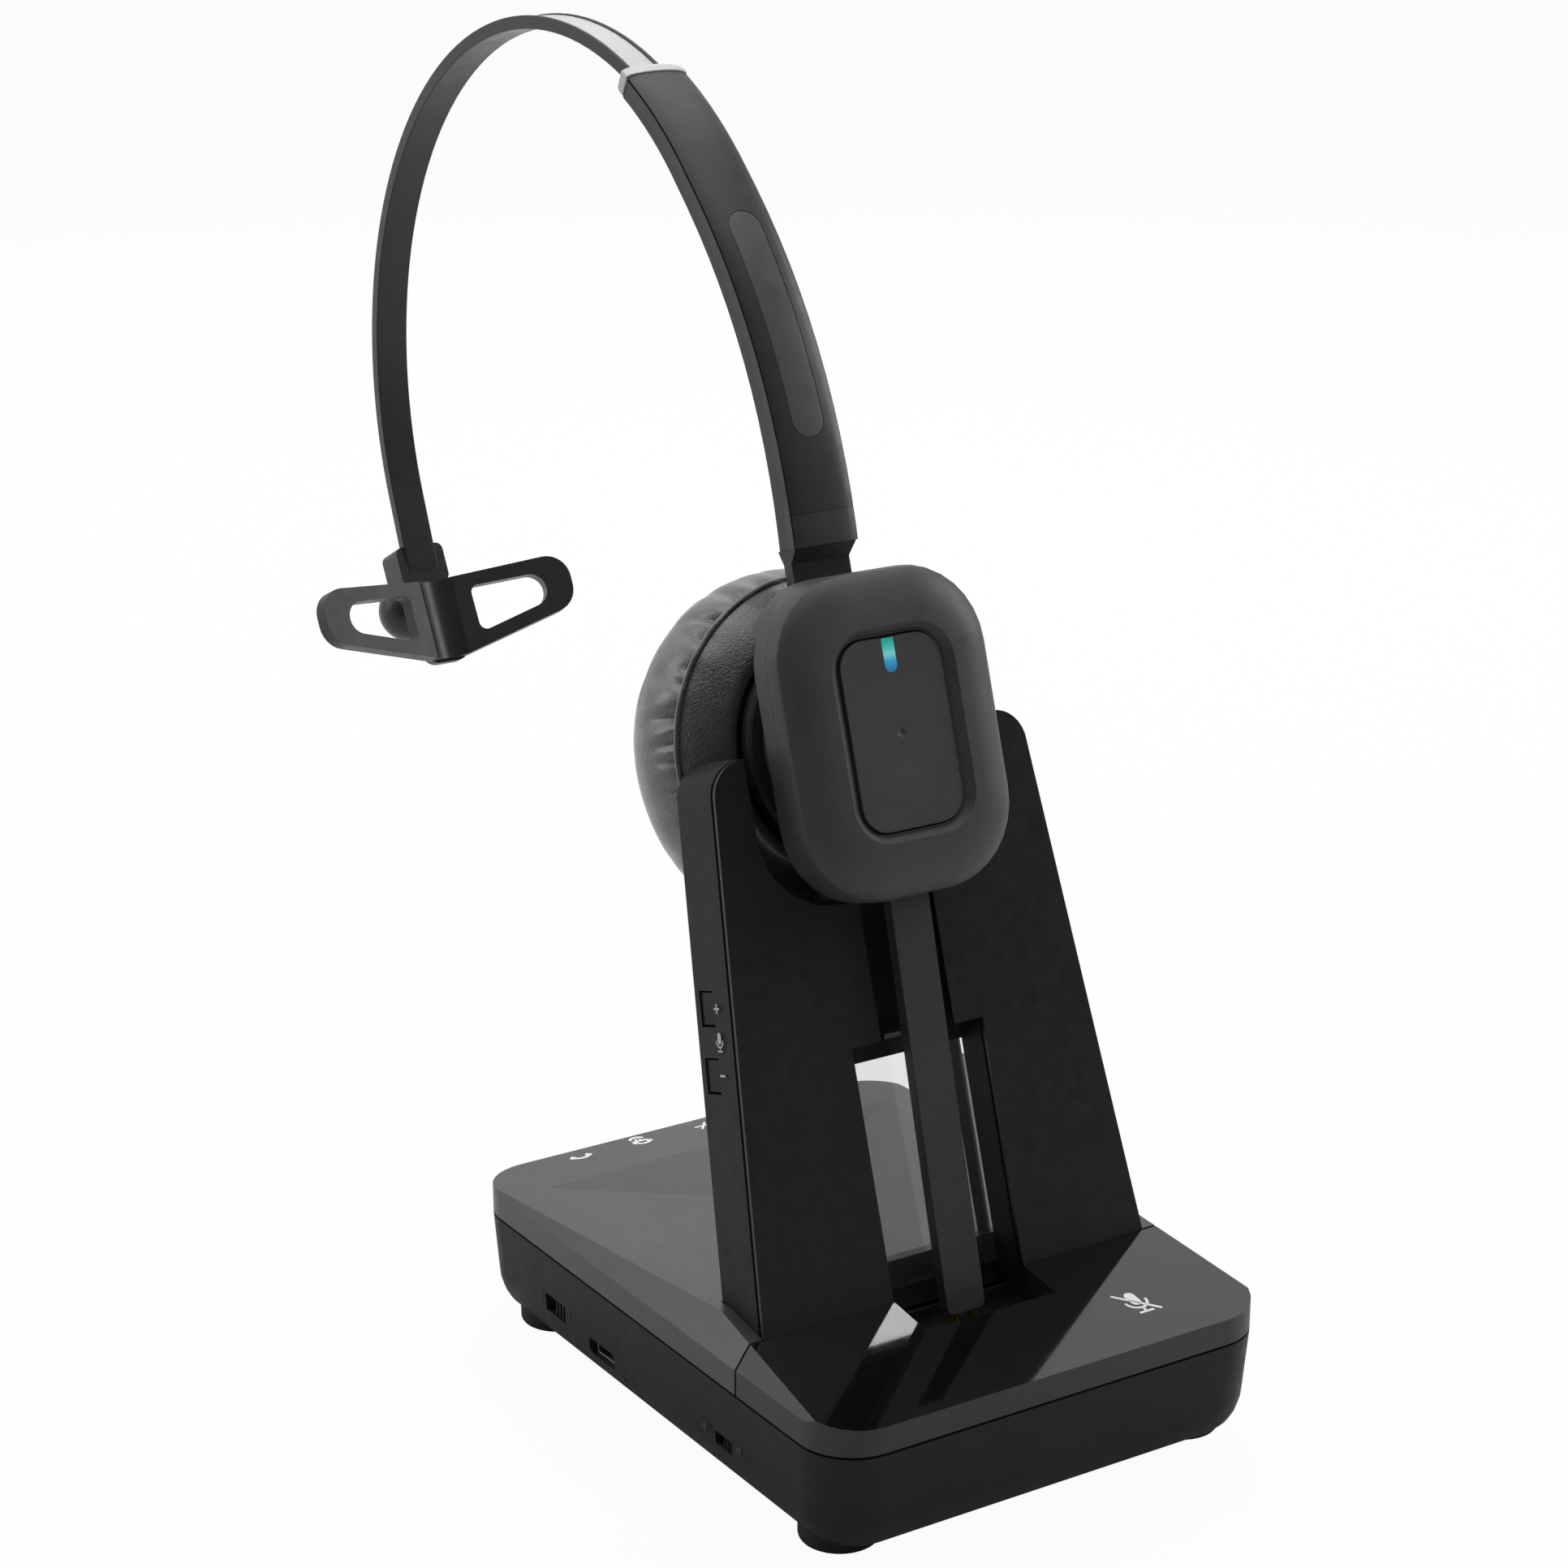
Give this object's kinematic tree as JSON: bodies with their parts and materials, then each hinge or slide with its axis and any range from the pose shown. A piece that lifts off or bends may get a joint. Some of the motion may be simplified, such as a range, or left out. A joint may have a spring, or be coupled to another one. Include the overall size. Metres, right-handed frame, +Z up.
{
  "type": "wireless headset with charging base",
  "caption": "Over-the-head wireless mono headset with a round ear cushion and a flat microphone boom, docked in the leaning tower of its desk charging base.",
  "frame": {"origin": "centre of the base's footprint, on the surface that the rubber feet stand on", "axes": "+Z up, front of the base towards -Y, +X to the right seen from the front"},
  "size_m": [0.09, 0.2359, 0.2297],
  "materials": {
    "base_plastic": "fine moulded texture",
    "cover_plastic": "fine moulded texture",
    "gloss_plastic": "piano black",
    "face_plastic": "smooth satin",
    "earpiece_plastic": "soft matte with a fine grain",
    "boom_plastic": "satin",
    "band_plastic": "satin",
    "key_plastic": "satin",
    "label_plastic": "satin, unmarked",
    "foot_rubber": "matte",
    "cushion_leatherette": "soft grained leatherette",
    "silver_trim": "satin silver",
    "window_clear": "clear",
    "light_guide": "translucent",
    "steel": "plated",
    "speaker_metal": "satin",
    "contact_gold": "gold plated",
    "circuit_board": "solder resist",
    "ballast": "plated",
    "battery_foil": "shrink sleeve"
  },
  "bodies": {
    "base": {"base_tray": "base_plastic", "rear_cover": "cover_plastic", "front_panel": "gloss_plastic", "rubber_feet": "foot_rubber", "tray_screws": "steel", "base_pcb": "circuit_board", "ballast_plate": "ballast", "micro_usb_socket": "steel", "slide_switches": "steel", "ringer_speaker": "speaker_metal", "charging_pins": "contact_gold", "tower_shell": "base_plastic", "tower_face": "face_plastic", "window_pane": "window_clear", "key_board": "circuit_board"},
    "ringer_slider": {"ringer_knob": "key_plastic"},
    "speaker_slider": {"speaker_knob": "key_plastic"},
    "mic_up": {"mic_up_key": "key_plastic"},
    "mic_down": {"mic_down_key": "key_plastic"},
    "headband": {"neck_yoke": "band_plastic", "sleeve_shell": "band_plastic", "sleeve_liner": "band_plastic", "sleeve_collar": "silver_trim", "label_inlay": "label_plastic"},
    "earpiece": {"housing_back": "earpiece_plastic", "housing_front": "earpiece_plastic", "earpiece_pcb": "circuit_board", "battery": "battery_foil", "boom_arm": "boom_plastic", "boom_contacts": "contact_gold", "microphone": "steel", "cushion_carrier": "key_plastic", "speaker_driver": "speaker_metal", "ear_grille": "key_plastic", "carrier_screws": "steel", "ear_cushion": "cushion_leatherette"},
    "call_key": {"call_button": "earpiece_plastic", "light_bar": "light_guide"},
    "band": {"slide_band": "band_plastic", "band_strip": "silver_trim", "pad_clip": "band_plastic"},
    "pad": {"head_pad": "band_plastic", "ball_stud": "steel"}
  },
  "joints": [
    {"name": "headset_lift", "type": "slide", "parent": "base", "child": "headband", "axis": [0, 0.302, 0.9533], "range_m": [0, 0.13]},
    {"name": "earpiece_swivel", "type": "hinge", "parent": "headband", "child": "earpiece", "pos_m": [0, -0.00251, 0.11906], "axis": [0, -0.9533, 0.302], "range_deg": [-3.5, 3.5]},
    {"name": "call_button_press", "type": "slide", "parent": "earpiece", "child": "call_key", "axis": [0, 0.9533, -0.302], "range_m": [0, 0.0006], "stiffness_N_per_m": 900},
    {"name": "band_extend", "type": "hinge", "parent": "headband", "child": "band", "pos_m": [0, 0.0993, 0.1537], "axis": [-1, 0, 0], "range_deg": [0, 17]},
    {"name": "pad_tilt", "type": "hinge", "parent": "band", "child": "pad", "pos_m": [0, 0.16902, 0.10124], "axis": [1, 0, 0], "range_deg": [-4, 8]},
    {"name": "mic_up_press", "type": "slide", "parent": "base", "child": "mic_up", "axis": [1, 0, 0], "range_m": [0, 0.0005], "stiffness_N_per_m": 600},
    {"name": "mic_down_press", "type": "slide", "parent": "base", "child": "mic_down", "axis": [1, 0, 0], "range_m": [0, 0.0005], "stiffness_N_per_m": 600},
    {"name": "ringer_slide", "type": "slide", "parent": "base", "child": "ringer_slider", "axis": [0, 1, 0], "range_m": [0, 0.0031]},
    {"name": "speaker_slide", "type": "slide", "parent": "base", "child": "speaker_slider", "axis": [0, 1, 0], "range_m": [0, 0.0024]}
  ]
}
